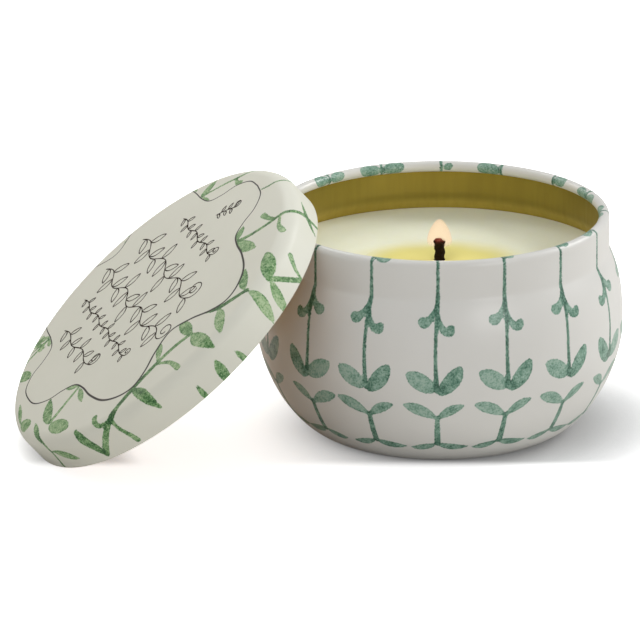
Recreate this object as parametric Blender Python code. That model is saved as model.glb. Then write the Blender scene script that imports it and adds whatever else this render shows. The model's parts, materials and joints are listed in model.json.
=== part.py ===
"""Candle tin: a seamless drawn bowl of soy wax with a wick, and its slip lid leaning against the rim.

Metres, +Z up. The origin is the centre of the tin's flat base. The lid leans on the tin's -X side:
its lower edge stands on the surface that the tin stands on, and its upper edge overhangs the rim.
"""

import math

import bmesh
import bpy
from mathutils import Matrix, Vector

MM = 0.001

# Clearances and resolution
GAP = 0.3 * MM                       # air between two pieces that touch on the real object
AROUND = 60                          # segments around the large drawn pieces
AROUND_SMALL = 32                    # segments around the small pieces

# Tin: a drawn tinplate bowl
WALL = 0.3 * MM
TIN_HEIGHT = 35.9 * MM
NECK_RADIUS = 27.5 * MM
BELLY_RADIUS = 29.75 * MM
BELLY_HEIGHT = 16.6 * MM             # where the bowl is widest
SHOULDER_HEIGHT = 29.6 * MM          # where the bowl meets the straight neck
BASE_RADIUS = 19.3 * MM              # the flat the tin stands on
BELLY_BELOW_POWER = 1.62             # superellipse power of the bowl under its widest line
BELLY_ABOVE_POWER = 2.9              # power of the bowl over its widest line
CURL_RADIUS = 0.88 * MM              # the rim is rolled inwards into a tube of this radius
CURL_SWEEP = math.radians(275)
BEAD_INNER = 13.2 * MM               # stiffening ring pressed up into the base
BEAD_OUTER = 15.4 * MM
BEAD_RISE = 0.4 * MM

# Lid: a drawn slip lid with its edge folded inwards
LID_RADIUS = 29.85 * MM
LID_HEIGHT = 6.55 * MM
LID_CORNER = 2.4 * MM                # round between the flat top and the skirt
HEM_WIDTH = 1.65 * MM
HEM_HEIGHT = 0.9 * MM
HEM_CORNER = 0.3 * MM

# How the lid leans
LID_TILT = math.radians(40.65)       # its top face from horizontal
LID_FACING = math.radians(194.9)     # bearing its top face is turned to
LID_BEARING = math.radians(194.6)    # bearing of the open rim's centre from the tin's axis
LID_STANDOFF = 43.9 * MM             # horizontal distance between those centres

# Wax, its melted pool and the wick
WAX_LEVEL = 27.3 * MM
WAX_EDGE_RISE = 0.35 * MM            # meniscus left against the wall
POOL_RADIUS = 12.6 * MM
POOL_DEPTH = 1.3 * MM
POOL_SURFACE_DROP = 0.15 * MM
WICK_RADIUS = 0.7 * MM
WICK_TOP = 30.9 * MM
WICK_LEAN = 0.35 * MM

# Wick tab and the sticker that holds it down
STICKER_RADIUS = 6.0 * MM
STICKER_THICKNESS = 0.5 * MM
TAB_RADIUS = 7.5 * MM
TAB_THICKNESS = 0.3 * MM
COLLAR_RADIUS = 1.35 * MM
COLLAR_WALL = 0.3 * MM
COLLAR_HEIGHT = 4.5 * MM
COLLAR_FILLET = 0.8 * MM

STICKER_BOTTOM = WALL + GAP
TAB_BOTTOM = STICKER_BOTTOM + STICKER_THICKNESS + GAP
COLLAR_TOP = TAB_BOTTOM + COLLAR_HEIGHT


def clear_scene():
    for thing in list(bpy.data.objects):
        bpy.data.objects.remove(thing, do_unlink=True)


def material(name, colour, roughness, metallic=0.0):
    made = bpy.data.materials.new(name)
    made.use_nodes = True
    shader = made.node_tree.nodes["Principled BSDF"]
    shader.inputs["Base Color"].default_value = (*colour, 1.0)
    shader.inputs["Roughness"].default_value = roughness
    shader.inputs["Metallic"].default_value = metallic
    made.diffuse_color = (*colour, 1.0)
    return made


def arc(centre, radius, start, end, steps):
    """Points on a circular arc in the (radius, height) plane, both ends included."""
    points = []
    for i in range(steps + 1):
        angle = start + (end - start) * i / steps
        points.append((centre[0] + radius * math.cos(angle), centre[1] + radius * math.sin(angle)))
    return points


def piece(name, bm, finish, smooth_angle=35):
    """Turn a bmesh into a named, smooth-shaded object."""
    bmesh.ops.recalc_face_normals(bm, faces=bm.faces)
    mesh = bpy.data.meshes.new(name)
    bm.to_mesh(mesh)
    bm.free()
    mesh.shade_smooth()
    mesh.set_sharp_from_angle(angle=math.radians(smooth_angle))
    mesh.materials.append(finish)
    made = bpy.data.objects.new(name, mesh)
    bpy.context.collection.objects.link(made)
    return made


def turned(name, profile, finish, closed=False, around=AROUND):
    """Spin a (radius, height) outline about Z. An open outline starts and ends on the axis."""
    bm = bmesh.new()
    points = [bm.verts.new((radius, 0.0, height)) for radius, height in profile]
    edges = [bm.edges.new(pair) for pair in zip(points, points[1:])]
    if closed:
        edges.append(bm.edges.new((points[-1], points[0])))
    bmesh.ops.spin(
        bm, geom=points + edges, cent=(0, 0, 0), axis=(0, 0, 1),
        angle=math.tau, steps=around, use_merge=True,
    )
    bmesh.ops.remove_doubles(bm, verts=bm.verts, dist=0.002 * MM)
    return piece(name, bm, finish)


def bowl_side(offset, below_steps, above_steps, top=SHOULDER_HEIGHT):
    """The bowl's side from its base up to a height, at most the foot of the neck, moved in by offset."""
    points = []
    for i in range(below_steps + 1):
        angle = math.pi / 2 * i / below_steps
        power = 2 / BELLY_BELOW_POWER
        radius = BASE_RADIUS + (BELLY_RADIUS - BASE_RADIUS) * math.sin(angle) ** power
        height = BELLY_HEIGHT * (1 - max(0.0, math.cos(angle)) ** power)
        points.append((radius, height))
    for i in range(1, above_steps + 1):
        height = BELLY_HEIGHT + (top - BELLY_HEIGHT) * i / above_steps
        part = (height - BELLY_HEIGHT) / (SHOULDER_HEIGHT - BELLY_HEIGHT)
        radius = NECK_RADIUS + (BELLY_RADIUS - NECK_RADIUS) * (1 - part ** BELLY_ABOVE_POWER)
        points.append((radius, height))
    return inset(points, offset) if offset else points


def inset(points, offset):
    """Move an outline that climbs away from the axis inwards, square to its own direction."""
    moved = []
    for i, (radius, height) in enumerate(points):
        before = points[max(0, i - 1)]
        after = points[min(len(points) - 1, i + 1)]
        run, rise = after[0] - before[0], after[1] - before[1]
        length = math.hypot(run, rise)
        moved.append((radius - offset * rise / length, height + offset * run / length))
    return moved


def base_outline(height):
    """The base from the axis outwards, with its stiffening ring pressed up."""
    slope = BEAD_RISE * 1.3
    return [
        (0.0, height),
        (BEAD_INNER, height),
        (BEAD_INNER + slope, height + BEAD_RISE),
        (BEAD_OUTER - slope, height + BEAD_RISE),
        (BEAD_OUTER, height),
    ]


def tin_body(finish):
    curl_centre = (NECK_RADIUS - CURL_RADIUS, TIN_HEIGHT - CURL_RADIUS)
    rim_outside = arc(curl_centre, CURL_RADIUS, 0.0, CURL_SWEEP, 11)
    rim_inside = arc(curl_centre, CURL_RADIUS - WALL, CURL_SWEEP, 0.0, 8)
    outside = base_outline(0.0) + bowl_side(0.0, 9, 6)
    inside = base_outline(WALL) + bowl_side(WALL, 9, 6)
    profile = outside + rim_outside + rim_inside + inside[::-1]
    return turned("tin_body", profile, finish)


def lid_shell(finish):
    """The lid about its own axis: open edge at height 0, flat top above."""
    corner = (LID_RADIUS - LID_CORNER, LID_HEIGHT - LID_CORNER)
    edge = (LID_RADIUS - HEM_CORNER, HEM_CORNER)
    lip = LID_RADIUS - HEM_WIDTH
    top_outside = [(0.0, LID_HEIGHT)] + arc(corner, LID_CORNER, math.pi / 2, 0.0, 6)
    edge_outside = arc(edge, HEM_CORNER, 0.0, -math.pi / 2, 2)
    lip_outline = [(lip, 0.0), (lip, HEM_HEIGHT), (lip + WALL, HEM_HEIGHT), (lip + WALL, WALL)]
    skirt_inside = [(LID_RADIUS - WALL, WALL)]
    top_inside = arc(corner, LID_CORNER - WALL, 0.0, math.pi / 2, 5) + [(0.0, LID_HEIGHT - WALL)]
    profile = top_outside + edge_outside + lip_outline + skirt_inside + top_inside
    made = turned("lid_shell", profile, finish)
    made.matrix_world = lid_placement()
    return made


def lid_placement():
    """Lean the lid: its open edge touches the ground plane, and its top face looks up and away."""
    outward = Vector((
        math.sin(LID_TILT) * math.cos(LID_FACING),
        math.sin(LID_TILT) * math.sin(LID_FACING),
        math.cos(LID_TILT),
    ))
    level = Vector((0, 0, 1)).cross(outward).normalized()
    uphill = outward.cross(level)
    turn = Matrix((level, uphill, outward)).transposed().to_4x4()
    centre = Vector((
        LID_STANDOFF * math.cos(LID_BEARING),
        LID_STANDOFF * math.sin(LID_BEARING),
        (LID_RADIUS - HEM_CORNER) * math.sin(LID_TILT) + HEM_CORNER * (1 - math.cos(LID_TILT)),
    ))
    return Matrix.Translation(centre) @ turn


def wax_fill(finish):
    """Wax cast round the wick tab, with a shallow dish melted into its top."""
    wick_hole = WICK_RADIUS + GAP
    side = bowl_side(WALL + GAP, 9, 5, top=WAX_LEVEL + WAX_EDGE_RISE)
    edge = side[-1][0]
    top = [
        (wick_hole, WAX_LEVEL - POOL_DEPTH),
        (POOL_RADIUS * 0.72, WAX_LEVEL - POOL_DEPTH),
        (POOL_RADIUS * 0.9, WAX_LEVEL - POOL_DEPTH * 0.55),
        (POOL_RADIUS, WAX_LEVEL - POOL_DEPTH * 0.1),
        (POOL_RADIUS + 0.8 * MM, WAX_LEVEL),
        (edge - 1.2 * MM, WAX_LEVEL),
    ]
    base = [(radius, height + GAP) for radius, height in base_outline(WALL)[1:]]
    under_tab = TAB_RADIUS + GAP
    over_tab = TAB_BOTTOM + TAB_THICKNESS + GAP
    collar_hole = COLLAR_RADIUS + GAP
    hollow = [
        (under_tab, WALL + GAP),
        (under_tab, over_tab),
        (collar_hole + COLLAR_FILLET, over_tab),
        (collar_hole, over_tab + COLLAR_FILLET),
        (collar_hole, COLLAR_TOP + GAP),
        (wick_hole, COLLAR_TOP + GAP),
    ]
    profile = top + side[::-1] + base[::-1] + hollow
    return turned("wax_fill", profile, finish, closed=True)


def melt_pool(finish):
    """The liquid wax lying in the dish, round the wick."""
    wick_hole = WICK_RADIUS + GAP
    surface = WAX_LEVEL - POOL_SURFACE_DROP
    profile = [
        (wick_hole, WAX_LEVEL - POOL_DEPTH + GAP),
        (POOL_RADIUS * 0.71, WAX_LEVEL - POOL_DEPTH + GAP),
        (POOL_RADIUS * 0.87, WAX_LEVEL - POOL_DEPTH * 0.55 + GAP),
        (POOL_RADIUS - GAP, surface),
        (wick_hole, surface),
    ]
    return turned("melt_pool", profile, finish, closed=True, around=48)


def wick(finish):
    """Braided wick: straight up through the collar and the wax, bent over a little at its burnt end."""
    bottom = TAB_BOTTOM + GAP
    stations = [
        (bottom, 1.0, 0.0),
        (WAX_LEVEL, 1.0, 0.0),
        (WAX_LEVEL + 0.45 * (WICK_TOP - WAX_LEVEL), 0.92, 0.25),
        (WAX_LEVEL + 0.78 * (WICK_TOP - WAX_LEVEL), 1.12, 0.75),
        (WICK_TOP - 0.25 * MM, 1.05, 1.0),
        (WICK_TOP, 0.6, 1.05),
    ]
    sides = 14
    bm = bmesh.new()
    rings = []
    for height, swell, lean in stations:
        ring = []
        for i in range(sides):
            angle = math.tau * i / sides
            radius = WICK_RADIUS * swell
            across = radius * math.cos(angle) - WICK_LEAN * lean
            ring.append(bm.verts.new((across, radius * math.sin(angle), height)))
        rings.append(ring)
    for low, high in zip(rings, rings[1:]):
        for i in range(sides):
            j = (i + 1) % sides
            bm.faces.new((low[i], low[j], high[j], high[i]))
    bm.faces.new(rings[0][::-1])
    bm.faces.new(rings[-1])
    return piece("wick", bm, finish)


def wick_sustainer(finish):
    """Pressed tab whose collar grips the wick's foot."""
    inner = COLLAR_RADIUS - COLLAR_WALL
    top = TAB_BOTTOM + TAB_THICKNESS
    profile = [
        (inner, TAB_BOTTOM),
        (TAB_RADIUS, TAB_BOTTOM),
        (TAB_RADIUS, top),
        (COLLAR_RADIUS + COLLAR_FILLET, top),
        (COLLAR_RADIUS, top + COLLAR_FILLET),
        (COLLAR_RADIUS, COLLAR_TOP),
        (inner, COLLAR_TOP),
    ]
    return turned("wick_sustainer", profile, finish, closed=True, around=AROUND_SMALL)


def wick_sticker(finish):
    """Adhesive disc between the wick tab and the tin's floor."""
    top = STICKER_BOTTOM + STICKER_THICKNESS
    profile = [
        (0.0, STICKER_BOTTOM),
        (STICKER_RADIUS, STICKER_BOTTOM),
        (STICKER_RADIUS, top),
        (0.0, top),
    ]
    return turned("wick_sticker", profile, finish, around=AROUND_SMALL)


def build():
    clear_scene()
    tin_body(material("tin_paint", (0.78, 0.78, 0.75), 0.4))
    lid_shell(material("lid_paint", (0.66, 0.65, 0.58), 0.4))
    wax_fill(material("wax", (0.74, 0.72, 0.55), 0.5))
    melt_pool(material("molten_wax", (0.72, 0.68, 0.3), 0.08))
    wick(material("charred_cotton", (0.02, 0.014, 0.01), 0.9))
    wick_sustainer(material("tinplate", (0.6, 0.6, 0.6), 0.35, metallic=1.0))
    wick_sticker(material("adhesive", (0.85, 0.85, 0.82), 0.7))


build()
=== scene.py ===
"""The candle tin's looks: printed enamel, gold lacquer, wax with its melted pool, burning wick, lid."""

import json
import math

import bmesh
import bpy
import numpy as np
from mathutils import Matrix, Vector, noise


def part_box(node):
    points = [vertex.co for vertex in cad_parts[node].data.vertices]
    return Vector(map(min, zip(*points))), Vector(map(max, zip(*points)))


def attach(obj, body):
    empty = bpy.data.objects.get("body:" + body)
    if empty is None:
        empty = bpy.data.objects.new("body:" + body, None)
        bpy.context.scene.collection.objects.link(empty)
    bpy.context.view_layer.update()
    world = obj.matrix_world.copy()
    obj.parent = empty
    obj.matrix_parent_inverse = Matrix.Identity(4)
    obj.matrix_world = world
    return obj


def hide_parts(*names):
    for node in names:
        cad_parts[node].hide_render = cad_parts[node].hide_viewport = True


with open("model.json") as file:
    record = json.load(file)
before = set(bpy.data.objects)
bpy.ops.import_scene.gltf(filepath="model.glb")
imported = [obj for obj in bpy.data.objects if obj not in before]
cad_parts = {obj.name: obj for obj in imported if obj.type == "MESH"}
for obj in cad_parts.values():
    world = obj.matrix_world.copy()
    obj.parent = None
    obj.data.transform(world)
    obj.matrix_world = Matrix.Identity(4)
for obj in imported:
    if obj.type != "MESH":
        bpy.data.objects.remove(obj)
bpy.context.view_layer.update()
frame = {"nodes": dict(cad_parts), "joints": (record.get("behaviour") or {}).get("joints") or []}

MM = 0.001
RANDOM = np.random.default_rng(7)

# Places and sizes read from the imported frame
TIN_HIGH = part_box("tin_body")[1]
TIN_HEIGHT = TIN_HIGH[2]
BELLY_RADIUS = TIN_HIGH[0]
WAX_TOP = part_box("melt_pool")[1][2] + 0.15 * MM
POOL_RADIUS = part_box("melt_pool")[1][0]
POOL_LEVEL = WAX_TOP - 0.1 * MM
POOL_DEPTH = 1.3 * MM
SHORE_WIDTH = 4.0 * MM
WAX_GAP = 0.03 * MM                  # between the wax and the tin's wall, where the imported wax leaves 0.3 mm
MELT_FORWARD = 3.8 * MM              # the melt has crept towards the front
WICK_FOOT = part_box("wick")[0][2]
WICK_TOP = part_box("wick")[1][2]
WICK_LEAN = 0.4 * MM                 # the wick's end towards the front, and the flame away from it
FLAME_LEAN = 1.3 * MM
WICK_TIP = WICK_TOP + 0.35 * MM      # the char stands a little above the cord
WICK_RADIUS = 0.82 * MM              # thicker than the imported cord's 0.7 mm
PLAIT_LENGTH = 1.6 * MM
FLAME_RADIUS = 2.15 * MM
FLAME_FOOT, FLAME_TIP = WICK_TOP - 1.6 * MM, WICK_TOP + 3.0 * MM
FLAME_LAYERS = (1.0, 0.9, 0.79, 0.66, 0.5)
LAYER_COVER = 0.44                   # how much each flame layer hides of what is behind it

# Tin, the same section as the frame's at a finer step
WALL = 0.3 * MM
NECK_RADIUS = 27.5 * MM
BELLY_HEIGHT = 16.6 * MM
SHOULDER_HEIGHT = 29.6 * MM
BASE_RADIUS = 19.3 * MM
BELLY_BELOW_POWER = 1.62
BELLY_ABOVE_POWER = 2.9
CURL_RADIUS = 0.88 * MM
CURL_SWEEP = math.radians(275)
BEAD_INNER, BEAD_OUTER, BEAD_RISE = 13.2 * MM, 15.4 * MM, 0.4 * MM
TIN_AROUND = 480
SKIN_STEP = 0.35 * MM

# Lid
LID_RADIUS = 29.85 * MM
LID_HEIGHT = 6.55 * MM
LID_CORNER = 2.4 * MM
HEM_WIDTH, HEM_HEIGHT, HEM_CORNER = 1.65 * MM, 0.9 * MM, 0.3 * MM
LID_AROUND = 480

# Studio
WORLD_LIGHT = 0.46
FLAME_POWER = 0.0012                 # in watts
FLOOR_GLOW = 0.8
FLOOR_REACH = 6.0
SHADE_REACH = 16 * MM                # the floor's painted shade comes from what stands this near
SHADE_FROM = (-0.8, 0.08, 0.6)       # on this side of it
SHADE_FRONT = -23.5 * MM, -19.5 * MM # and the painted shade ends between these two places in front
CONTACT_SHADOW_REACH = 6 * MM               # closer than this the floor's own colour darkens, a painted contact shadow
FLOOR_DROP = 0.02 * MM               # keeps the floor from lying in the same plane as the tin's foot

# Camera
CAMERA_DISTANCE = 36 * BELLY_RADIUS
CAMERA_ELEVATION = math.radians(19.5)
LENS, SENSOR = 367.7, 36.0           # both in mm, as Blender's camera takes them
LOOK_LEFT, LOOK_UP = 19.55 * MM, 16.1 * MM

# Print
SPRIGS = 16
MIRRORED = (3, 6, 9, 14)             # sprigs drawn the other way round, counted from the front
FRONT = -math.pi / 2
STEM_OFFSET = -0.35                  # in mm, as are the joints' distances up the skin
SPRIG_JOINT = 20.0
SHOOT_JOINT = 13.9
# By sprig: how much the rim shows of its right and left leaf, and how far up they are
RIM_LEAVES = {
    1: (0.1, 0, 20.9),
    2: (0.3, 0, 20.9),
    3: (0.6, 0, 21.2),
    4: (0.5, 0.5, 21.8),
    5: (0.6, 0.5, 21.8),
    6: (0.5, 0, 21.8),
    7: (0.9, 0, 21.8),
    8: (0, 0.05, 21.8),
    9: (0.8, 0.9, 21.8),
    10: (0.6, 0.6, 21.8),
    11: (0.5, 0, 21.8),
    13: (0, 0.5, 21.2),
    15: (0.5, 0, 20.8),
}
BACK_SPRIGS = 7
CARTOUCHE_MIDDLE = -5.0
PEN_WIDTH = 0.28
PEN_STEP = 0.28
OFF_PRINT = 60.0                     # in mm, farther out than every mark on the lid
FAR = 9.0                            # largest print distance kept, in mm


# ---------------------------------------------------------------- outlines

def arc(centre, radius, start, end, steps):
    angles = np.linspace(start, end, steps + 1)
    return np.stack([centre[0] + radius * np.cos(angles), centre[1] + radius * np.sin(angles)], 1)


def spaced(points, step):
    """The same outline with points at an even spacing of about step."""
    points = np.asarray(points, float)
    along = path_length(points)
    count = max(2, int(round(along[-1] / step)) + 1)
    even = np.linspace(0, along[-1], count)
    return np.stack([np.interp(even, along, points[:, k]) for k in (0, 1)], 1)


def path_length(points):
    return np.concatenate([[0.0], np.cumsum(np.hypot(*np.diff(points, axis=0).T))])


def inset(points, offset):
    """Move an outline that climbs away from the axis inwards, square to its own direction."""
    run, rise = np.gradient(points[:, 0]), np.gradient(points[:, 1])
    length = np.hypot(run, rise)
    return np.stack([points[:, 0] - offset * rise / length, points[:, 1] + offset * run / length], 1)


def base_outline(height):
    slope = BEAD_RISE * 1.3
    return np.array([
        (0.0, height),
        (BEAD_INNER * 0.5, height),
        (BEAD_INNER, height),
        (BEAD_INNER + slope * 0.5, height + BEAD_RISE * 0.5),
        (BEAD_INNER + slope, height + BEAD_RISE),
        (BEAD_OUTER - slope, height + BEAD_RISE),
        (BEAD_OUTER - slope * 0.5, height + BEAD_RISE * 0.5),
        (BEAD_OUTER, height),
    ])


def bowl_side(offset=0.0, top=SHOULDER_HEIGHT):
    """The bowl's side from the base up to a height, in fine steps."""
    angles = np.linspace(0, math.pi / 2, 400)
    power = 2 / BELLY_BELOW_POWER
    below = np.stack([
        BASE_RADIUS + (BELLY_RADIUS - BASE_RADIUS) * np.sin(angles) ** power,
        BELLY_HEIGHT * (1 - np.maximum(0, np.cos(angles)) ** power),
    ], 1)
    heights = np.linspace(BELLY_HEIGHT, top, 200)[1:]
    part = (heights - BELLY_HEIGHT) / (SHOULDER_HEIGHT - BELLY_HEIGHT)
    above = np.stack([
        NECK_RADIUS + (BELLY_RADIUS - NECK_RADIUS) * (1 - part ** BELLY_ABOVE_POWER), heights,
    ], 1)
    side = np.concatenate([below, above])
    return inset(side, offset) if offset else side


# ---------------------------------------------------------------- meshes

def tidy_mesh(mesh, smooth_angle=40):
    bm = bmesh.new()
    bm.from_mesh(mesh)
    bmesh.ops.recalc_face_normals(bm, faces=bm.faces)
    bm.to_mesh(mesh)
    bm.free()
    mesh.shade_smooth()
    mesh.set_sharp_from_angle(angle=math.radians(smooth_angle))


def turned(name, profile, around, closed=False, place=None, first_inside=None):
    """A turned object, and each vertex's (row, angle). A row on the axis becomes one point."""
    rows, points, faces, where = [], [], [], []
    angles = np.arange(around) * math.tau / around
    for index, (radius, height) in enumerate(profile):
        start = len(points)
        if radius < 1e-7:
            points.append((0.0, 0.0, height))
            where.append((index, 0.0))
            rows.append([start] * around)
            continue
        for angle in angles:
            points.append((radius * math.cos(angle), radius * math.sin(angle), height))
            where.append((index, angle))
        rows.append(list(range(start, start + around)))
    pairs = list(zip(rows, rows[1:])) + ([(rows[-1], rows[0])] if closed else [])
    row_of_face = []
    for index, (low, high) in enumerate(pairs):
        for i in range(around):
            j = (i + 1) % around
            corners = list(dict.fromkeys((low[i], low[j], high[j], high[i])))
            faces.append(corners)
            row_of_face.append(index)
    mesh = bpy.data.meshes.new(name)
    mesh.from_pydata(points, [], faces)
    if first_inside is not None:
        inside = (np.array(row_of_face) >= first_inside).astype(np.int32)
        mesh.polygons.foreach_set("material_index", inside)
    tidy_mesh(mesh)
    made = bpy.data.objects.new(name, mesh)
    bpy.context.scene.collection.objects.link(made)
    if place is not None:
        mesh.transform(place)
    return made, np.array(where)


def add_field(made, name, values):
    field = made.data.attributes.new(name, "FLOAT", "POINT")
    field.data.foreach_set("value", np.asarray(values, np.float32))


# ---------------------------------------------------------------- print, drawn in flat mm

def smooth_path(points, steps=10):
    """Catmull-Rom curve through the points."""
    p = np.asarray(points, float)
    p = np.concatenate([[2 * p[0] - p[1]], p, [2 * p[-1] - p[-2]]])
    out = []
    for a, b, c, d in zip(p, p[1:], p[2:], p[3:]):
        t = np.linspace(0, 1, steps, endpoint=False)[:, None]
        square, cube = 2 * a - 5 * b + 4 * c - d, 3 * b - a - 3 * c + d
        out.append(0.5 * (2 * b + (c - a) * t + square * t ** 2 + cube * t ** 3))
    return np.concatenate(out + [p[-2:-1]])


class Stroke:
    """A brush mark: a path, the brush's half width along it, and how dark it is."""

    def __init__(self, points, widths, tone):
        path = smooth_path(np.column_stack([points, widths]))
        self.path, self.widths, self.tone = path[:, :2], np.maximum(path[:, 2], 0.05), tone

    def placed(self, at, degrees, scale=1.0, mirror=False):
        """A copy at a point, turned anticlockwise."""
        turn = math.radians(degrees)
        x, y = self.path[:, 0] * scale * (-1 if mirror else 1), self.path[:, 1] * scale
        copy = Stroke.__new__(Stroke)
        copy.path = np.stack([
            at[0] + x * math.cos(turn) - y * math.sin(turn),
            at[1] + x * math.sin(turn) + y * math.cos(turn),
        ], 1)
        copy.widths, copy.tone = self.widths * scale, self.tone
        return copy

    def fainter(self, share):
        """The same mark with less ink."""
        self.tone *= share
        return self

    def distance(self, points):
        """Signed distance of points to the mark's edge, negative inside, only where it is near."""
        far = np.full(len(points), FAR)
        low = self.path.min(0) - self.widths.max() - 1.2
        high = self.path.max(0) + self.widths.max() + 1.2
        near = np.all((points > low) & (points < high), axis=1)
        p = points[near]
        best = np.full(len(p), FAR)
        for a, b, wa, wb in zip(self.path, self.path[1:], self.widths, self.widths[1:]):
            run = b - a
            t = np.clip(((p - a) @ run) / max(run @ run, 1e-9), 0, 1)
            gap = np.hypot(*(p - a - t[:, None] * run).T) - (wa + (wb - wa) * t)
            best = np.minimum(best, gap)
        far[near] = best
        return far


def leaf(base, tip, half_width, tone, bow=0.0, blunt=0.0, widest=0.5):
    """A leaf from base to tip. Bow bends it, blunt rounds its ends off, widest is the place along it."""
    base, tip = np.array(base, float), np.array(tip, float)
    side = np.array([-(tip - base)[1], (tip - base)[0]]) * bow
    steps = np.linspace(0, 1, 13)
    spine = base + (tip - base) * steps[:, None] + side * (4 * steps * (1 - steps))[:, None]
    swell = np.sin(math.pi * steps ** (math.log(0.5) / math.log(widest)))
    shape = np.maximum(swell, 0) ** (0.8 - 0.32 * blunt)
    ends = 0.12 + 0.3 * half_width * blunt * steps
    return Stroke(spine, np.maximum(half_width * shape, ends), tone)


def hanging_sprig(stem_top):
    """A stem that hangs from stem_top, with two curled tendrils and a pair of broad leaves at its end."""
    return [
        Stroke([(0.1, stem_top), (0.1, 16.0), (0.0, 12.5), (-0.2, 8.5), (-0.3, 4.0), (-0.1, 0.2)],
               [0.24, 0.29, 0.38, 0.29, 0.31, 0.4], 0.72),
        Stroke([(0.0, 13.5), (-0.5, 12.1), (-1.2, 11.0), (-2.0, 10.4), (-2.3, 10.5)],
               [0.2, 0.34, 0.58, 0.88, 0.8], 0.42),
        Stroke([(0.1, 12.1), (0.4, 10.4), (1.1, 9.2), (1.9, 9.0), (2.2, 9.5)],
               [0.2, 0.38, 0.64, 0.8, 0.6], 0.5),
        leaf((-0.6, -0.7), (-4.5, 1.9), 1.45, 0.28, blunt=1.0, widest=0.52),
        leaf((0.3, -1.3), (3.5, 2.8), 1.35, 0.5, bow=-0.05, blunt=1.2, widest=0.56),
        Stroke([(-0.2, -0.4), (0.3, -0.6), (0.7, -0.6)], [0.6, 0.78, 0.6], 0.6),
    ]


def seedling():
    """An upright shoot with two leaves above and two lying along the ground line."""
    return [
        Stroke([(0.0, 0.3), (0.0, -2.8), (0.05, -5.9)], [0.36, 0.46, 0.5], 0.7),
        leaf((-0.1, 0.0), (-5.1, 2.6), 1.05, 0.26, bow=-0.05, blunt=0.85, widest=0.6),
        leaf((0.2, 0.1), (4.0, 2.5), 0.88, 0.3, bow=0.07, blunt=0.75, widest=0.55),
        Stroke([(0.4, 0.1), (2.0, 1.5), (3.4, 2.2)], [0.12, 0.16, 0.1], 0.4),
        leaf((-0.1, -5.7), (-4.1, -7.0), 0.78, 0.48, bow=0.1, blunt=0.2, widest=0.55),
        leaf((0.1, -5.8), (4.9, -6.7), 0.82, 0.5, bow=-0.1, blunt=0.2, widest=0.45),
    ]


def rim_leaves(right, left, up):
    """What the rolled rim shows of the next row's leaves, each side at its own share of the full size."""
    marks = []
    if right > 0:
        tip = (1.4 + 2.5 * right, up - 0.3)
        marks.append(leaf((0.4, up + 0.2), tip, 0.7 + 0.7 * right, 0.42, 0.08, blunt=0.9, widest=0.6))
    if left > 0:
        tip = (-1.4 - 2.3 * left, up - 0.2)
        marks.append(leaf((-0.6, up + 0.2), tip, 0.6 + 0.7 * left, 0.36, -0.08, blunt=0.9))
    return marks


def printed(points, strokes):
    """Distance to the nearest mark's edge, and how dark the overlapping marks are together."""
    edge = np.full(len(points), FAR)
    bare = np.ones(len(points))
    for mark in strokes:
        gap = mark.distance(points)
        edge = np.minimum(edge, gap)
        bare *= 1 - mark.tone * np.clip(0.5 - gap / 0.5, 0, 1)
    return edge, 1 - bare


# ---------------------------------------------------------------- node materials

class Nodes:
    """Short ways to write a material's node tree."""

    def __init__(self, name):
        self.material = bpy.data.materials.new(name)
        self.material.use_nodes = True
        self.tree = self.material.node_tree
        self.tree.nodes.clear()
        self.out = self.tree.nodes.new("ShaderNodeOutputMaterial")

    def add(self, kind, inputs=None, **settings):
        node = self.tree.nodes.new(kind)
        for key, value in settings.items():
            setattr(node, key, value)
        for key, value in (inputs or {}).items():
            self.plug(node.inputs[key], value)
        return node

    def plug(self, socket, value):
        if isinstance(value, bpy.types.NodeSocket):
            self.tree.links.new(value, socket)
        elif isinstance(value, tuple) and len(value) == 3 and socket.type == "RGBA":
            socket.default_value = (*value, 1.0)
        else:
            socket.default_value = value

    def math(self, operation, *values, clamp=False):
        node = self.add("ShaderNodeMath", operation=operation, use_clamp=clamp)
        for socket, value in zip(node.inputs, values):
            self.plug(socket, value)
        return node.outputs[0]

    def field(self, name):
        return self.add("ShaderNodeAttribute", attribute_name=name).outputs["Fac"]

    def position(self):
        return self.add("ShaderNodeTexCoord").outputs["Object"]

    def noise(self, scale, detail=3.0, roughness=0.5, vector=None):
        return self.add(
            "ShaderNodeTexNoise",
            {"Vector": vector or self.position(), "Scale": scale, "Detail": detail, "Roughness": roughness},
        ).outputs["Fac"]

    def ramp(self, value, low, high, out_low=0.0, out_high=1.0, smooth=True):
        return self.add(
            "ShaderNodeMapRange",
            {"Value": value, "From Min": low, "From Max": high, "To Min": out_low, "To Max": out_high},
            interpolation_type="SMOOTHSTEP" if smooth else "LINEAR",
        ).outputs[0]

    def mix(self, share, first, second):
        node = self.add("ShaderNodeMix", data_type="RGBA")
        for index, value in ((0, share), (6, first), (7, second)):
            self.plug(node.inputs[index], value)
        return node.outputs[2]

    def bump(self, height, distance, strength=1.0):
        return self.add(
            "ShaderNodeBump", {"Height": height, "Distance": distance, "Strength": strength},
        ).outputs["Normal"]

    def open_sky(self, samples, inputs):
        """1 where nothing stands near, less where something shades the place."""
        return self.add("ShaderNodeAmbientOcclusion", inputs, samples=samples).outputs["AO"]

    def surface(self, **inputs):
        shader = self.add("ShaderNodeBsdfPrincipled")
        for key, value in inputs.items():
            self.plug(shader.inputs[key.replace("_", " ")], value)
        self.tree.links.new(shader.outputs[0], self.out.inputs["Surface"])
        return self.material


def colour(red, green, blue):
    """An sRGB colour in 0 to 255 as linear values."""
    def linear(value):
        value /= 255
        return value / 12.92 if value <= 0.04045 else ((value + 0.055) / 1.055) ** 2.4
    return (linear(red), linear(green), linear(blue))


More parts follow.
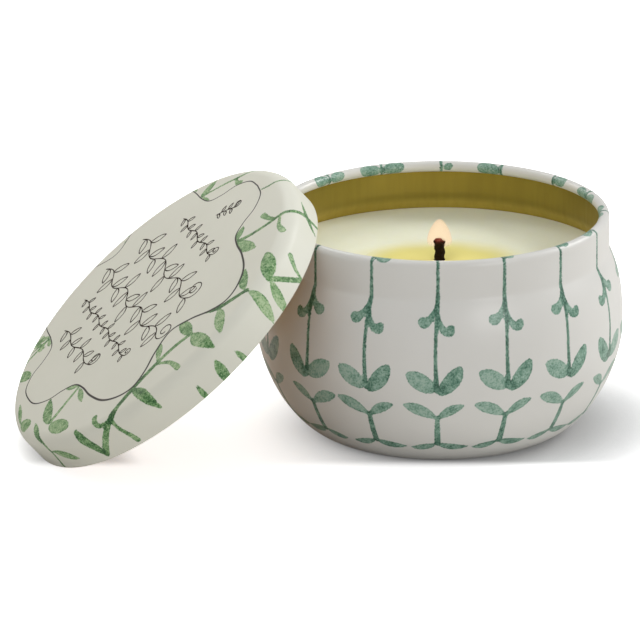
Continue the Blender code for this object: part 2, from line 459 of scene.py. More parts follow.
def printed_enamel(name, ground, ground_shade, pale, mid, deep, gloss, line=None):
    """Satin enamel under a watercolour print: wavering brush marks, pooled rims and paper grain."""
    n = Nodes(name)
    wander = n.math("SUBTRACT", n.noise(3400.0, 3.0, 0.6), 0.5)
    edge = n.math("ADD", n.field("ink"), n.math("MULTIPLY", wander, 0.42))
    grain = n.math("SUBTRACT", n.noise(3300.0, 2.0, 0.7), 0.5)
    patches = n.math("SUBTRACT", n.noise(750.0, 3.0, 0.6), 0.5)
    inked = n.ramp(edge, 0.06, -0.06)
    rim = n.math("MULTIPLY", n.ramp(edge, -0.36, -0.06), 0.22)
    dark = n.math("ADD", n.field("tone"), n.math("MULTIPLY", patches, 1.3))
    dark = n.math("ADD", dark, n.math("MULTIPLY", grain, 1.8))
    dark = n.math("ADD", dark, rim, clamp=True)
    paint = n.mix(n.ramp(dark, 0.08, 0.6, smooth=False), pale, mid)
    paint = n.mix(n.ramp(dark, 0.55, 1.0, smooth=False), paint, deep)
    enamel = n.mix(n.noise(90.0, 3.0, 0.55), ground, ground_shade)
    shown = n.mix(inked, enamel, paint)
    if line is not None:
        stroke = n.ramp(n.math("ABSOLUTE", n.field("outline")), 0.2, 0.12)
        shown = n.mix(stroke, shown, line)
    skin = n.noise(2600.0, 2.0, 0.5)
    dents = n.noise(45.0, 2.0, 0.4)
    height = n.math("ADD", n.math("MULTIPLY", skin, 0.1), n.math("MULTIPLY", dents, 0.9))
    return n.surface(
        Base_Color=shown,
        Roughness=n.ramp(n.noise(300.0), 0.3, 0.7, 0.62 - 0.26 * gloss, 0.7 - 0.26 * gloss),
        Normal=n.bump(height, 0.12 * MM, 0.5),
        Coat_Weight=0.25 * gloss,
        Coat_Roughness=0.22,
        IOR=1.5,
    )


def gold_lacquer(name, deep, pale, painted_reflection_height=None):
    """Gold food-can lacquer with faint drawing lines. Below the height of a crease it is paler, a painted
    reflection of the wax.
    """
    n = Nodes(name)
    stretched = n.add(
        "ShaderNodeMapping", {"Vector": n.position(), "Scale": (1.0, 1.0, 0.08)},
    ).outputs[0]
    lines = n.noise(900.0, 3.0, 0.6, vector=stretched)
    share = n.math("MULTIPLY", n.noise(120.0, 3.0, 0.5), 0.3)
    if painted_reflection_height is not None:
        # painted reflection of the wax: paler below the crease
        height = n.add("ShaderNodeSeparateXYZ", {"Vector": n.position()}).outputs["Z"]
        share = n.math("ADD", share, n.ramp(height, painted_reflection_height + 0.3 * MM, painted_reflection_height - 1.5 * MM), clamp=True)
    tint = n.mix(share, deep, pale)
    tint = n.mix(n.math("MULTIPLY", lines, 0.25), tint, colour(100, 82, 28))
    return n.surface(
        Base_Color=tint,
        Metallic=0.75,
        Roughness=n.ramp(lines, 0.3, 0.7, 0.36, 0.48),
        Normal=n.bump(lines, 0.03 * MM, 0.25),
    )


def warmth(n):
    """How molten the wax looks: 1 round the wick, fading out over the pool's shore."""
    place = n.add("ShaderNodeSeparateXYZ", {"Vector": n.position()})
    x, y = place.outputs["X"], n.math("ADD", place.outputs["Y"], MELT_FORWARD)
    reach = n.math("SQRT", n.math("ADD", n.math("MULTIPLY", x, x), n.math("MULTIPLY", y, y)))
    waver = n.math("SUBTRACT", n.noise(130.0, 2.0, 0.5), 0.5)
    reach = n.math("ADD", reach, n.math("MULTIPLY", waver, 3.0 * MM))
    return n.ramp(reach, POOL_RADIUS + 4.4 * MM, POOL_RADIUS - 2.6 * MM)


def wax_tint(n):
    cloud = n.noise(200.0, 4.0, 0.6)
    cream = n.mix(cloud, colour(231, 232, 206), colour(239, 240, 218))
    return n.mix(warmth(n), cream, n.mix(cloud, colour(223, 214, 124), colour(229, 220, 138)))


def soft_wax():
    n = Nodes("soy_wax")
    grain = n.noise(1500.0, 3.0, 0.6)
    swell = n.noise(140.0, 2.0, 0.4)
    height = n.math("ADD", n.math("MULTIPLY", grain, 0.25), swell)
    return n.surface(
        Base_Color=wax_tint(n),
        Subsurface_Weight=0.35,
        Subsurface_Radius=(1.0, 0.85, 0.5),
        Subsurface_Scale=1.6 * MM,
        Roughness=n.ramp(grain, 0.3, 0.7, 0.42, 0.58),
        Normal=n.bump(height, 0.15 * MM, 0.6),
    )


def liquid_wax():
    n = Nodes("liquid_wax")
    ripple = n.noise(260.0, 1.0, 0.4)
    return n.surface(
        Base_Color=wax_tint(n),
        Roughness=n.ramp(warmth(n), 0.3, 1.0, 0.5, 0.3),
        Normal=n.bump(ripple, 0.05 * MM, 0.3),
    )


def burnt_wick():
    """Cotton that is charred black above the wax, with a painted dull red glow of the burning char at its end.
    """
    n = Nodes("burnt_wick")
    rise = n.add("ShaderNodeSeparateXYZ", {"Vector": n.position()}).outputs["Z"]
    fibre = n.noise(3000.0, 4.0, 0.7)
    ragged = n.math("ADD", rise, n.math("MULTIPLY", n.math("SUBTRACT", fibre, 0.5), 0.7 * MM))
    char = n.mix(fibre, colour(8, 5, 3), colour(46, 28, 14))
    painted_ember_glow = n.mix(fibre, colour(30, 10, 7), colour(110, 42, 30))
    cotton = n.mix(fibre, colour(214, 205, 178), colour(238, 232, 214))
    # painted glow: the wick's end is dull red as if burning, in its base colour
    tint = n.mix(n.ramp(ragged, WICK_TIP - 0.9 * MM, WICK_TIP - 0.2 * MM), char, painted_ember_glow)
    tint = n.mix(n.ramp(ragged, WAX_TOP - 1.2 * MM, WAX_TOP - 2.2 * MM), tint, cotton)
    return n.surface(
        Base_Color=tint, Roughness=0.9, Normal=n.bump(fibre, 0.2 * MM, 1.0), Specular_IOR_Level=0.2,
    )


def flame_glow(name, tint):
    """A see-through shell of glowing gas, fainter towards its foot."""
    n = Nodes(name)
    rise = n.add("ShaderNodeSeparateXYZ", {"Vector": n.position()}).outputs["Z"]
    light = n.add("ShaderNodeEmission", {"Color": tint, "Strength": 1.0}).outputs[0]
    clear = n.add("ShaderNodeBsdfTransparent").outputs[0]
    flicker = n.ramp(n.noise(500.0), 0.2, 0.8, 0.92, 1.0)
    amount = n.ramp(rise, FLAME_FOOT, FLAME_FOOT + 1.3 * MM, 0.0, LAYER_COVER)
    amount = n.math("MULTIPLY", amount, flicker)
    both = n.add("ShaderNodeMixShader", {"Fac": amount})
    n.plug(both.inputs[1], clear)
    n.plug(both.inputs[2], light)
    n.tree.links.new(both.outputs[0], n.out.inputs["Surface"])
    return n.material


def tinplate():
    n = Nodes("bare_tinplate")
    spangle = n.add("ShaderNodeTexVoronoi", {"Vector": n.position(), "Scale": 900.0}).outputs["Distance"]
    scratch = n.noise(2200.0, 3.0, 0.7)
    tint = n.mix(spangle, colour(196, 196, 194), colour(150, 150, 150))
    return n.surface(
        Base_Color=tint, Metallic=1.0, Roughness=n.ramp(scratch, 0.3, 0.7, 0.24, 0.42),
        Normal=n.bump(scratch, 0.02 * MM, 0.4),
    )


def foam_pad():
    n = Nodes("adhesive_foam")
    cells = n.add("ShaderNodeTexVoronoi", {"Vector": n.position(), "Scale": 3500.0}).outputs["Distance"]
    tint = n.mix(cells, colour(240, 240, 236), colour(205, 205, 200))
    return n.surface(Base_Color=tint, Roughness=0.85, Normal=n.bump(cells, 0.05 * MM, 0.5))


def line_ink():
    n = Nodes("line_ink")
    tint = n.mix(n.noise(1800.0, 3.0, 0.6), colour(30, 22, 18), colour(66, 52, 42))
    return n.surface(Base_Color=tint, Roughness=0.85, Specular_IOR_Level=0.15)


def pale_floor():
    """White studio paper that glows to the camera. Its shade is painted from ambient occlusion: the glow and
    the colour the camera sees darken where an object shades it, and the paper's own colour darkens close under
    an object.
    """
    n = Nodes("pale_floor")
    speck = n.noise(40.0, 2.0, 0.5)
    warm = n.mix(speck, (0.85, 0.83, 0.8), (0.87, 0.85, 0.82))
    cool = n.mix(speck, (0.82, 0.83, 0.84), (0.84, 0.85, 0.86))
    seen = n.add("ShaderNodeLightPath").outputs["Is Camera Ray"]
    # painted shade: occlusion towards SHADE_FROM dims the glow and greys the colour the camera sees
    side = n.add("ShaderNodeCombineXYZ", dict(zip("XYZ", SHADE_FROM))).outputs[0]
    clear = n.open_sky(16, {"Distance": SHADE_REACH, "Normal": side})
    depth = n.add("ShaderNodeSeparateXYZ", {"Vector": n.position()}).outputs["Y"]
    painted_shade = n.math("SUBTRACT", 1.0, n.math("POWER", clear, 1.5))
    glow = n.math("SUBTRACT", 1.0, n.math("MULTIPLY", painted_shade, n.ramp(depth, *SHADE_FRONT)))
    tint = n.mix(seen, warm, n.mix(glow, (0.5, 0.5, 0.5), cool))
    # painted contact shadow: the paper's colour goes grey close under an object
    clear_of_contact_shadow = n.open_sky(8, {"Distance": CONTACT_SHADOW_REACH})
    return n.surface(
        Base_Color=n.mix(clear_of_contact_shadow, (0.4, 0.4, 0.4), tint), Roughness=0.95, Specular_IOR_Level=0.1,
        Emission_Color=(1.0, 1.0, 1.0),
        Emission_Strength=n.math("MULTIPLY", n.math("MULTIPLY", seen, glow), FLOOR_GLOW),
    )


# ---------------------------------------------------------------- tin

def tin_profile():
    """Outer skin from the base centre over the rolled rim, then back down the inside."""
    curl = (NECK_RADIUS - CURL_RADIUS, TIN_HEIGHT - CURL_RADIUS)
    neck = np.array([(NECK_RADIUS, SHOULDER_HEIGHT), (NECK_RADIUS, curl[1])])
    outside = np.concatenate([bowl_side(), neck[1:], arc(curl, CURL_RADIUS, 0, CURL_SWEEP, 60)[1:]])
    outside = spaced(outside, SKIN_STEP)
    under = arc(curl, CURL_RADIUS - WALL, CURL_SWEEP, 0, 12)
    neck_bore = NECK_RADIUS - WALL
    neck_inside = np.array([(neck_bore, curl[1]), (neck_bore, SHOULDER_HEIGHT - 0.05 * MM)])
    inside = spaced(bowl_side(WALL), 0.9 * MM)[::-1]
    neck_inside = spaced(neck_inside, 1.2 * MM)[1:-1]
    return [base_outline(0.0), outside, under, neck_inside, inside, base_outline(WALL)[::-1]]


def tin_shell():
    rows = tin_profile()
    profile = np.concatenate(rows)
    base_rows, skin_rows = len(rows[0]), len(rows[1])
    made, where = turned(
        "tin_shell", profile, TIN_AROUND, first_inside=base_rows + skin_rows,
    )
    index, angle = where[:, 0].astype(int), where[:, 1]
    along = path_length(rows[1]) / MM
    skin = (index >= base_rows) & (index < base_rows + skin_rows)
    height = np.full(len(index), -FAR)
    height[skin] = along[index[skin] - base_rows]
    edge, tone = np.full(len(index), FAR), np.zeros(len(index))
    marks, shoot = hanging_sprig(23.5), seedling()
    turn = math.tau / SPRIGS
    for k in range(SPRIGS):
        around = (angle - FRONT - k * turn + math.pi) % math.tau - math.pi
        near = skin & (np.abs(around) < turn * 0.62)
        across = around[near] * profile[index[near], 0] / MM
        points = np.stack([-across if k in MIRRORED else across, height[near]], 1)
        sway = RANDOM.uniform(-0.2, 0.2)
        stem = (-STEM_OFFSET if k in MIRRORED else STEM_OFFSET, SPRIG_JOINT)
        rim = rim_leaves(*RIM_LEAVES.get(k, (0, 0, 0)))
        sprig = [m.placed((stem[0], stem[1] + sway), 0) for m in marks + rim]
        sprig += [m.placed((stem[0], SHOOT_JOINT), 0) for m in shoot]
        gap, dark = printed(points, sprig)
        edge[near] = np.minimum(edge[near], gap)
        tone[near] = np.maximum(tone[near], dark)
    add_field(made, "ink", np.clip(edge, -3, 3))
    add_field(made, "tone", tone)
    made.data.materials.append(printed_enamel(
        "tin_enamel", colour(215, 214, 210), colour(210, 209, 204),
        colour(152, 178, 163), colour(98, 140, 120), colour(30, 82, 62), gloss=1.0,
    ))
    # paler below the shoulder's crease: a painted reflection of the wax
    made.data.materials.append(gold_lacquer(
        "tin_gold", colour(149, 131, 52), colour(200, 178, 84), painted_reflection_height=SHOULDER_HEIGHT,
    ))
    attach(made, "tin")
    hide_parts("tin_body")


# ---------------------------------------------------------------- lid

def lid_place():
    """The lid's own frame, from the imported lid: open edge at height 0, its axis along the slide."""
    outward = Vector(frame["joints"][0]["axis"]).normalized()
    mesh = frame["nodes"]["lid_shell"].data
    points = np.empty(len(mesh.vertices) * 3, np.float64)
    mesh.vertices.foreach_get("co", points)
    points = points.reshape(-1, 3)
    along = points @ np.array(outward)
    rim = points[along < along.min() + 0.05 * MM]
    centre = Vector((rim.min(0) + rim.max(0)) / 2)
    level = Vector((0, 0, 1)).cross(outward).normalized()
    uphill = outward.cross(level)
    return Matrix.Translation(centre) @ Matrix((level, uphill, outward)).transposed().to_4x4()


def cartouche():
    """A closed lobed frame in flat mm, the same in all four quarters round its own middle."""
    quarter = [(0.0, 25.3), (3.6, 24.8), (6.3, 22.6), (7.6, 19.8), (9.4, 17.6), (12.6, 16.8), (17.0, 16.5),
               (22.0, 15.3), (25.4, 12.8), (26.6, 10.0), (25.2, 7.0), (22.3, 3.8), (20.3, 0.0)]
    right = quarter + [(x, -y) for x, y in quarter[-2::-1]]
    loop = right + [(-x, y) for x, y in right[-2:0:-1]]
    curve = smooth_path(loop + loop[:1], 16)[:-1]
    return curve + np.array([CARTOUCHE_MIDDLE, 0.0])


def outline_distance(points, curve):
    """Signed distance of points to a closed outline, negative inside it."""
    best = np.full(len(points), 1e9)
    inside = np.zeros(len(points), bool)
    x, y = points.T
    for (ax, ay), (bx, by) in zip(curve, np.roll(curve, -1, axis=0)):
        run = np.array([bx - ax, by - ay])
        t = np.clip(((x - ax) * run[0] + (y - ay) * run[1]) / max(run @ run, 1e-9), 0, 1)
        best = np.minimum(best, (x - ax - t * run[0]) ** 2 + (y - ay - t * run[1]) ** 2)
        crosses = (ay > y) != (by > y)
        inside ^= crosses & (x < ax + (y - ay) * run[0] / (run[1] if run[1] else 1e-9))
    return np.where(inside, -1, 1) * np.sqrt(best)


def vine(points, widths=(0.3, 0.4), tone=0.6):
    """A brushed stem that widens evenly from its first to its second half width."""
    return Stroke(points, np.linspace(widths[0], widths[1], len(points)), tone)


def tendril(points, tone=0.5):
    """A short side shoot that ends in a round dab."""
    return Stroke(points, np.linspace(0.28, 0.58, len(points)), tone)


def front_vines():
    """The vines on the part of the lid that the photo shows, in flat mm from its middle."""
    return [
        vine([(21.9, 2.4), (21.2, -1.0), (21.3, -5.0), (22.3, -10.5), (24.2, -16.2)], (0.5, 0.66), 0.5),
        vine([(21.2, -5.0), (22.3, -10.5), (24.2, -16.2)], (0.4, 0.6), 0.72),
        vine([(24.2, -16.2), (24.9, -23.3)], (0.5, 0.62), 0.5),
        leaf((22.0, 2.4), (15.6, 2.2), 1.1, 0.5, blunt=0.4),
        leaf((22.4, 2.6), (29.6, 4.0), 1.35, 0.42, bow=-0.05, blunt=0.5),
        leaf((21.0, -4.6), (15.0, -2.6), 0.7, 0.35, bow=-0.06),
        tendril([(21.4, -4.8), (24.0, -3.2), (26.4, -2.6), (28.0, -2.4)], 0.35),
        leaf((22.2, -10.4), (30.4, -9.2), 1.0, 0.5, bow=0.04, blunt=0.5),
        leaf((23.0, -10.2), (29.0, -9.2), 0.4, 0.6, bow=0.05),
        leaf((22.2, -10.4), (19.8, -9.4), 0.8, 0.45),
        tendril([(24.2, -16.2), (23.0, -18.0), (21.6, -18.3), (20.2, -17.8)]),
        tendril([(24.6, -16.0), (26.6, -16.6), (28.4, -16.9), (29.6, -17.2)]),
        leaf((24.9, -23.4), (18.6, -21.8), 0.95, 0.66, bow=-0.04, blunt=1.2),
        vine([(24.3, 13.6), (23.1, 10.9), (21.8, 8.4), (19.4, 6.6)], (0.5, 0.66), 0.85),
        leaf((23.6, 13.6), (17.8, 15.4), 0.95, 0.5, bow=0.06, blunt=0.5),
        leaf((24.8, 13.8), (31.4, 15.6), 1.1, 0.28, bow=0.05, blunt=0.2),
        leaf((22.2, 8.3), (28.6, 6.2), 1.1, 0.32, bow=0.04),
        vine([(24.4, 17.6), (25.0, 20.8), (25.3, 24.6)], (0.45, 0.5), 0.45),
        leaf((24.2, 17.5), (18.8, 19.6), 1.35, 0.5, bow=-0.06, blunt=0.7),
        leaf((24.9, 17.8), (30.6, 19.0), 1.05, 0.35, blunt=0.4),
        tendril([(25.0, 24.6), (23.2, 23.8), (21.0, 23.4)], 0.45),
        vine([(6.4, 16.8), (8.6, 19.7), (10.3, 23.5), (11.3, 27.4), (11.4, 30.4), (12.3, 33.0)],
             (0.42, 0.4), 0.65),
        tendril([(10.6, 24.2), (8.4, 23.4), (6.0, 23.0)]),
        tendril([(11.2, 25.0), (13.6, 24.0), (15.6, 24.0)], 0.4),
        leaf((6.3, 16.9), (3.8, 19.4), 0.85, 0.5),
        leaf((7.2, 17.2), (13.6, 18.8), 1.2, 0.38, bow=-0.05, blunt=0.5),
        leaf((15.4, 31.6), (7.4, 30.2), 0.5, 0.6, bow=0.05),
        vine([(-2.6, 25.4), (-1.2, 27.4), (-0.5, 30.0), (-1.2, 33.0)], (0.22, 0.3), 0.6),
        vine([(-18.2, 16.8), (-15.6, 20.8), (-12.4, 25.0), (-10.5, 29.0)], (0.22, 0.26), 0.45),
        leaf((-18.2, 16.8), (-18.9, 20.4), 0.9, 0.45, blunt=0.5),
        leaf((-18.2, 16.6), (-14.4, 17.6), 0.5, 0.35),
        tendril([(-13.6, 23.4), (-12.2, 23.0), (-11.0, 23.4)], 0.4),
        leaf((36.2, 2.4), (31.8, 2.8), 1.0, 0.5, blunt=0.6),
        leaf((36.0, 7.9), (32.4, 6.6), 0.6, 0.4, blunt=0.4),
        leaf((36.0, -2.8), (32.8, -2.4), 0.55, 0.5, blunt=0.8),
        vine([(6.2, -17.2), (7.4, -20.4), (8.9, -24.2)], (0.32, 0.46), 0.35),
        leaf((9.0, -24.6), (2.0, -22.4), 1.05, 0.5, bow=0.05, blunt=0.6),
        leaf((9.8, -24.4), (15.2, -22.6), 1.5, 0.4, blunt=0.9),
        leaf((6.8, -17.3), (11.6, -18.2), 0.6, 0.4),
        leaf((5.8, -17.3), (3.0, -19.2), 0.55, 0.35),
        vine([(8.0, -27.2), (11.2, -27.6), (13.0, -28.7), (13.8, -32.0)], (0.22, 0.35), 0.62),
        leaf((10.6, -27.8), (5.0, -26.4), 0.6, 0.5),
        leaf((13.4, -28.2), (19.4, -27.2), 0.9, 0.42),
        leaf((0.6, -28.8), (-5.4, -27.0), 0.5, 0.5),
        leaf((0.6, -28.6), (3.6, -27.6), 1.2, 0.4, blunt=0.9),
        vine([(-18.4, -16.4), (-17.5, -19.8), (-16.8, -23.4), (-15.0, -28.0)], (0.2, 0.3), 0.3),
        leaf((-18.4, -16.6), (-20.4, -19.4), 0.6, 0.35),
        leaf((-18.2, -16.4), (-15.6, -17.8), 0.6, 0.4),
        leaf((-14.9, -24.4), (-11.4, -23.4), 1.2, 0.42, blunt=0.8),
    ]


def back_vines():
    """Hanging sprigs round the edge that is turned away from the front."""
    marks = []
    for place in range(BACK_SPRIGS):
        bearing = math.radians(150 + 82 * place / (BACK_SPRIGS - 1))
        at = np.array([math.cos(bearing), math.sin(bearing)]) * (32.0 + 1.5 * (place % 2))
        heading = math.degrees(bearing) + 90 + 25 * (-1) ** place
        marks += [m.placed(at, heading, 0.62, place % 3 == 0).fainter(0.5) for m in hanging_sprig(15.0)]
    return marks


def pen_frond(start, end, sway, waves, leaves, size):
    """Pen lines of a branch: a waving stem, outlined leaves on both sides by turns, a curl at its end."""
    start, end = np.array(start, float), np.array(end, float)
    along = np.linspace(0, 1, 16 * max(2, int(waves * 2)))
    run = end - start
    square = np.array([-run[1], run[0]]) / np.hypot(*run)
    stem = start + run * along[:, None] + square * (sway * np.sin(waves * math.tau * along))[:, None]
    turns = np.linspace(0, 1.35 * math.tau, 26)
    tip, heading = stem[-1], math.atan2(*(stem[-1] - stem[-2])[::-1])
    reach = 0.55 * size * (1 - turns / turns[-1] * 0.75)
    centre = tip + 0.55 * size * np.array([-math.sin(heading), math.cos(heading)])
    curl = centre + np.stack([
        reach * np.sin(turns + heading), -reach * np.cos(turns + heading),
    ], 1)
    lines = [np.concatenate([stem, curl[1:]])]
    for k in range(leaves):
        at = (k + 0.6) / leaves * (len(stem) - 1)
        base = stem[int(at)]
        ahead = stem[min(int(at) + 1, len(stem) - 1)] - stem[max(int(at) - 1, 0)]
        side = 1 if k % 2 else -1
        lean = math.atan2(ahead[1], ahead[0]) + side * math.radians(58)
        t = np.linspace(0, 1, 12)
        x = size * np.concatenate([t, t[-2::-1]])
        y = size * 0.19 * np.concatenate([4 * t * (1 - t), -4 * t[-2::-1] * (1 - t[-2::-1])])
        y += 0.14 * size * side * (x / size) ** 2
        lines.append(base + np.stack([
            x * math.cos(lean) - y * math.sin(lean), x * math.sin(lean) + y * math.cos(lean),
        ], 1))
    return lines


def pen_work():
    """Fine-line branches that fill the cartouche in rows."""
    lines = pen_frond((-7.8, 17.0), (-4.6, 20.4), 0.2, 0.5, 6, 1.5)
    lines += pen_frond((-16.5, 12.4), (3.4, 12.6), 0.4, 3.0, 15, 1.7)
    lines += pen_frond((-22.0, 5.0), (10.0, 5.4), 0.9, 3.0, 15, 3.5)
    lines += pen_frond((-23.5, -2.8), (12.5, -2.4), 0.9, 3.5, 17, 3.5)
    lines += pen_frond((-20.0, -8.6), (9.4, -8.4), 0.35, 4.0, 21, 1.6)
    lines += pen_frond((-16.0, -14.2), (2.4, -13.8), 0.5, 2.0, 10, 2.5)
    return lines


def pen_lines(place):
    """The pen work as a fine raised bead of ink on the lid."""
    points, faces = [], []
    for line in pen_work():
        length = path_length(line)
        even = np.linspace(0, length[-1], max(4, int(length[-1] / PEN_STEP)))
        line = np.stack([np.interp(even, length, line[:, k]) for k in (0, 1)], 1)
        ahead = np.gradient(line, axis=0)
        ahead /= np.hypot(*ahead.T)[:, None]
        square = np.stack([-ahead[:, 1], ahead[:, 0]], 1)
        pressure = PEN_WIDTH / 2 * (0.86 + 0.14 * np.sin(even * 2.1)) * np.clip(
            np.minimum(even, even[-1] - even) / 0.3, 0.4, 1,
        )
        first = len(points)
        for (x, y), (sx, sy), half in zip(line, square, pressure):
            for across, height in ((-1, -0.06), (1, -0.06), (0.7, 0.03), (-0.7, 0.03)):
                points.append((
                    (x + sx * half * across) * MM, (y + sy * half * across) * MM, LID_HEIGHT + height * MM,
                ))
        for ring in range(len(line) - 1):
            low, high = first + ring * 4, first + ring * 4 + 4
            for k in range(4):
                j = (k + 1) % 4
                faces.append((low + k, low + j, high + j, high + k))
        faces.append(tuple(range(first, first + 4)))
        faces.append(tuple(range(len(points) - 4, len(points))))
    mesh = bpy.data.meshes.new("lid_pen_lines")
    mesh.from_pydata(points, [], faces)
    mesh.transform(place)
    tidy_mesh(mesh)
    made = bpy.data.objects.new("lid_pen_lines", mesh)
    bpy.context.scene.collection.objects.link(made)
    made.data.materials.append(line_ink())
    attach(made, "lid")


def lid_profile():
    corner = (LID_RADIUS - LID_CORNER, LID_HEIGHT - LID_CORNER)
    edge = (LID_RADIUS - HEM_CORNER, HEM_CORNER)
    lip = LID_RADIUS - HEM_WIDTH
    flat = spaced([(0.0, LID_HEIGHT), (corner[0], LID_HEIGHT)], 0.3 * MM)
    round_over = arc(corner, LID_CORNER, math.pi / 2, 0, 14)[1:]
    skirt = spaced([(LID_RADIUS, corner[1]), (LID_RADIUS, HEM_CORNER)], 0.3 * MM)[1:]
    turn_in = arc(edge, HEM_CORNER, 0, -math.pi / 2, 5)[1:]
    outside = np.concatenate([flat, round_over, skirt, turn_in])
    hem = np.array([(lip + 0.1 * MM, 0.0), (lip, 0.1 * MM), (lip, HEM_HEIGHT), (lip + WALL, HEM_HEIGHT),
                    (lip + WALL, WALL), (LID_RADIUS - WALL, WALL)])
    wall = spaced([(LID_RADIUS - WALL, WALL), (LID_RADIUS - WALL, corner[1])], 0.8 * MM)[1:]
    top = arc(corner, LID_CORNER - WALL, 0, math.pi / 2, 8)[1:]
    ceiling = spaced([(corner[0], LID_HEIGHT - WALL), (0.0, LID_HEIGHT - WALL)], 3.0 * MM)[1:]
    return outside, np.concatenate([hem, wall, top, ceiling])


def lid_cover(place):
    outside, inside = lid_profile()
    profile = np.concatenate([outside, inside])
    made, where = turned("lid_cover", profile, LID_AROUND, place=place, first_inside=len(outside) + 2)
    index, angle = where[:, 0].astype(int), where[:, 1]
    reach = path_length(outside) / MM
    reach = np.concatenate([reach, np.full(len(inside), OFF_PRINT)])[index]
    points = np.stack([reach * np.cos(angle), reach * np.sin(angle)], 1)
    frame_gap = outline_distance(points, cartouche())
    edge, tone = printed(points, front_vines() + back_vines())
    edge = np.maximum(edge, 0.1 - frame_gap)                # no print inside the line frame
    add_field(made, "ink", np.clip(edge, -3, 3))
    add_field(made, "tone", tone)
    thin = np.clip(1.25 - 0.03 * points[:, 0], 0.7, 1.6)    # a finer line towards the back
    add_field(made, "outline", np.clip(frame_gap * thin, -3, 3))
    made.data.materials.append(printed_enamel(
        "lid_enamel", colour(220, 220, 208), colour(215, 215, 202),
        colour(170, 192, 150), colour(98, 144, 86), colour(20, 76, 30), gloss=0.35, line=colour(26, 18, 14),
    ))
    made.data.materials.append(gold_lacquer("lid_gold", colour(228, 172, 48), colour(236, 188, 68)))
    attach(made, "lid")
    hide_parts("lid_shell")


# ---------------------------------------------------------------- wax, pool, wick, flame

def dish_depth(radii):
    return POOL_DEPTH * (1 - np.clip(radii / POOL_RADIUS, 0, 1) ** 4) ** 0.8


def wax_body():
    """Cast wax up to a small gap from the tin's wall, with a soft dish melted round the wick."""
    side = bowl_side(WALL + WAX_GAP, top=WAX_TOP + 0.2 * MM)
    side = spaced(side, 1.0 * MM)
    rim = side[-1]
    radii = np.linspace(1.0 * MM, rim[0], 90)[:-1]
    shore = np.clip((radii - POOL_RADIUS) / SHORE_WIDTH, 0, 1)
    climb = 0.15 * MM * np.exp((radii - rim[0]) / (0.9 * MM))
    rise = (WAX_TOP - POOL_LEVEL) * shore ** 2 * (3 - 2 * shore)
    top = np.stack([radii, POOL_LEVEL - dish_depth(radii) + rise + climb], 1)
    floor = base_outline(WALL + 0.05 * MM)[2:]
    room_for_tab = np.array([
        (7.8, 0.4), (7.8, 2.0), (2.5, 2.0), (1.65, 2.9), (1.65, 6.2), (1.0, 6.2),
    ]) * MM
    profile = np.concatenate([top, side[::-1], floor[::-1], room_for_tab])
    made, _ = turned("wax_body", profile, 240, closed=True)
    made.data.materials.append(soft_wax())
    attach(made, "tin")
    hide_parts("wax_fill")


def pool_surface():
    """Liquid wax: level, climbing a little at the wick."""
    inner, outer = 0.95 * MM, POOL_RADIUS * 0.995
    radii = np.linspace(inner, outer, 60)
    lift = 0.25 * MM * np.exp(-(radii - inner) / (0.5 * MM))
    top = np.stack([radii, POOL_LEVEL + lift], 1)
    under = np.stack([radii, POOL_LEVEL - np.maximum(dish_depth(radii) - 0.03 * MM, 0.01 * MM)], 1)[::-1]
    made, _ = turned("pool_surface", np.concatenate([top, under]), 160, closed=True)
    made.data.materials.append(liquid_wax())
    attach(made, "tin")
    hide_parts("melt_pool")


def braided_wick():
    """A plaited cord, charred and crumbling into lumps at its end."""
    sides, top_step, low_step = 56, 0.05 * MM, 0.3 * MM
    burnt = WICK_TIP - 1.1 * MM
    fine_from = WAX_TOP - 2.0 * MM
    heights = np.concatenate([
        np.arange(WICK_FOOT, fine_from, low_step), np.arange(fine_from, WICK_TIP, top_step), [WICK_TIP],
    ])
    points, faces = [], []
    for height in heights:
        bare = np.clip((height - WAX_TOP) / (WICK_TIP - WAX_TOP), 0, 1)
        crumbled = np.clip((height - burnt) / (WICK_TIP - burnt), 0, 1)
        radius = WICK_RADIUS * (1 + 0.14 * math.sin(math.pi * min(1.0, crumbled * 1.3)))
        radius *= math.sqrt(max(0.01, 1 - crumbled ** 5))
        for k in range(sides):
            angle = math.tau * k / sides
            twist = height / PLAIT_LENGTH * math.tau
            plait = 0.05 * math.cos(3 * angle + twist) + 0.05 * math.cos(3 * angle - twist)
            spot = Vector((math.cos(angle), math.sin(angle), height / (0.6 * MM)))
            rough = noise.noise(spot * 1.6) * (0.12 * bare + 0.45 * crumbled)
            rough += noise.noise(spot * 4) * 0.12 * bare
            across = radius * (1 + plait + rough)
            points.append((
                across * math.cos(angle) + (0.2 - 0.3 * bare) * MM * bare,
                across * math.sin(angle) - WICK_LEAN * bare ** 2,
                height,
            ))
    rings = len(heights)
    for r in range(rings - 1):
        for k in range(sides):
            j = (k + 1) % sides
            faces.append((r * sides + k, r * sides + j, (r + 1) * sides + j, (r + 1) * sides + k))
    faces.append(tuple(range(sides))[::-1])
    faces.append(tuple(range((rings - 1) * sides, rings * sides)))
    mesh = bpy.data.meshes.new("braided_wick")
    mesh.from_pydata(points, [], faces)
    tidy_mesh(mesh, 60)
    made = bpy.data.objects.new("braided_wick", mesh)
    bpy.context.scene.collection.objects.link(made)
    made.data.materials.append(burnt_wick())
    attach(made, "tin")
    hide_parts("wick")


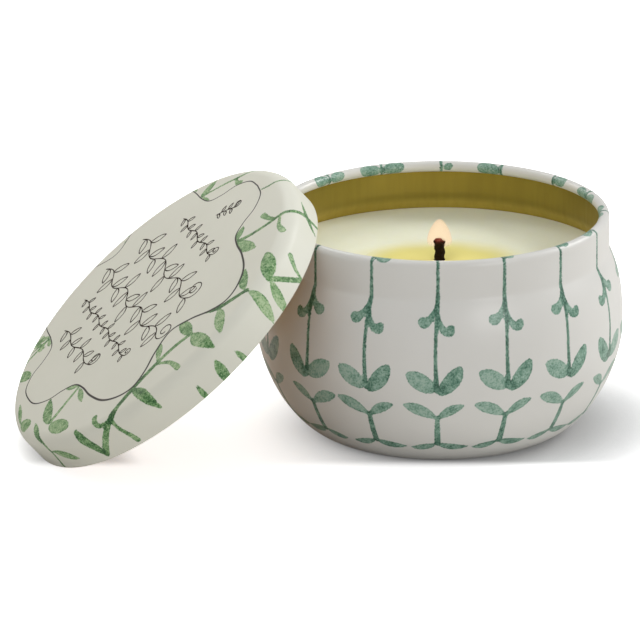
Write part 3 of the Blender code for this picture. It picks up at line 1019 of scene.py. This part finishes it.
def flame():
    """Nested shells of glowing gas behind the wick's end, broad at the foot, with a soft point."""
    for index, size in enumerate(FLAME_LAYERS):
        steps = np.linspace(0, 1, 40)
        length = (FLAME_TIP - FLAME_FOOT) * (0.3 + 0.7 * size)
        widths = FLAME_RADIUS * size * (1 - steps ** 1.9) ** 0.66 * (1 - 0.2 * (1 - steps) ** 8)
        profile = np.concatenate([[(0.0, FLAME_FOOT)], np.stack([widths, FLAME_FOOT + length * steps], 1)])
        profile[-1, 0] = 0.0
        back = Matrix.Translation((0, FLAME_LEAN, 0))
        made, _ = turned(f"flame_shell_{index + 1}", profile, 48, place=back)
        inward = index / (len(FLAME_LAYERS) - 1)
        tint = tuple(a + (b - a) * inward for a, b in zip(colour(255, 222, 182), colour(255, 250, 216)))
        made.data.materials.append(flame_glow(made.name, tint))
        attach(made, "tin")


# ---------------------------------------------------------------- stage

def camera():
    """A long lens in front of the tin, looking down at a point beside and above its foot."""
    back = Vector((0, -math.cos(CAMERA_ELEVATION), math.sin(CAMERA_ELEVATION)))
    up = Vector((0, math.sin(CAMERA_ELEVATION), math.cos(CAMERA_ELEVATION)))
    place = back * CAMERA_DISTANCE
    aim = (Vector((-LOOK_LEFT, 0, 0)) + up * LOOK_UP - place).normalized()
    side = (Vector((1, 0, 0)) - aim * aim.x).normalized()
    data = bpy.data.cameras.new("camera")
    data.sensor_width = SENSOR
    data.lens = LENS
    data.clip_end = 10.0
    made = bpy.data.objects.new("camera", data)
    turn = Matrix((side, side.cross(aim), -aim)).transposed().to_4x4()
    made.matrix_world = Matrix.Translation(place) @ turn
    bpy.context.scene.collection.objects.link(made)
    bpy.context.scene.camera = made


def softbox(name, place, target, size, power, tint=(1, 1, 1)):
    data = bpy.data.lights.new(name, "AREA")
    data.shape = "DISK"
    data.size = size
    data.energy = power
    data.color = tint
    made = bpy.data.objects.new(name, data)
    made.location = place
    made.rotation_euler = (Vector(target) - Vector(place)).to_track_quat("-Z", "Y").to_euler()
    made.visible_camera = False
    bpy.context.scene.collection.objects.link(made)


def stage():
    mesh = bpy.data.meshes.new("floor")
    signs = ((-1, -1), (1, -1), (1, 1), (-1, 1))
    corners = [(x * FLOOR_REACH, y * FLOOR_REACH, -FLOOR_DROP) for x, y in signs]
    mesh.from_pydata(corners, [], [(0, 1, 2, 3)])
    floor = bpy.data.objects.new("floor", mesh)
    bpy.context.scene.collection.objects.link(floor)
    mesh.materials.append(pale_floor())
    world = bpy.data.worlds.new("studio")
    world.use_nodes = True
    background = world.node_tree.nodes["Background"]
    background.inputs["Color"].default_value = (1.0, 1.0, 1.0, 1.0)
    background.inputs["Strength"].default_value = WORLD_LIGHT
    bpy.context.scene.world = world
    middle = (-0.01, 0, 0.02)
    softbox("right", (0.52, 0.25, 0.42), middle, 0.3, 2.0)
    softbox("right_low", (0.75, 0.1, 0.25), middle, 0.3, 0.4)
    softbox("front_right", (0.45, -0.7, 0.25), middle, 0.4, 1.5)
    softbox("over_lid", (-0.06, -0.05, 0.2), middle, 0.1, 0.06)
    softbox("behind_lid", (-0.08, 0.12, 0.16), middle, 0.1, 0.07)
    softbox("left_back", (-0.5, 0.35, 0.3), middle, 0.3, 0.42, (1.0, 0.87, 0.66))
    glow = bpy.data.lights.new("flame_light", "POINT")
    glow.energy = FLAME_POWER
    glow.shadow_soft_size = 2 * MM
    glow.color = (1.0, 0.85, 0.6)
    lit = bpy.data.objects.new("flame_light", glow)
    lit.location = (0, 0, WICK_TOP + 2.5 * MM)
    bpy.context.scene.collection.objects.link(lit)
    bpy.context.scene.view_settings.view_transform = "Standard"


def main():
    camera()
    stage()
    tin_shell()
    lid_cover(lid_place())
    pen_lines(lid_place())
    wax_body()
    pool_surface()
    braided_wick()
    flame()
    for node, finish in (("wick_sustainer", tinplate()), ("wick_sticker", foam_pad())):
        for slot in frame["nodes"][node].material_slots:
            slot.material = finish


main()
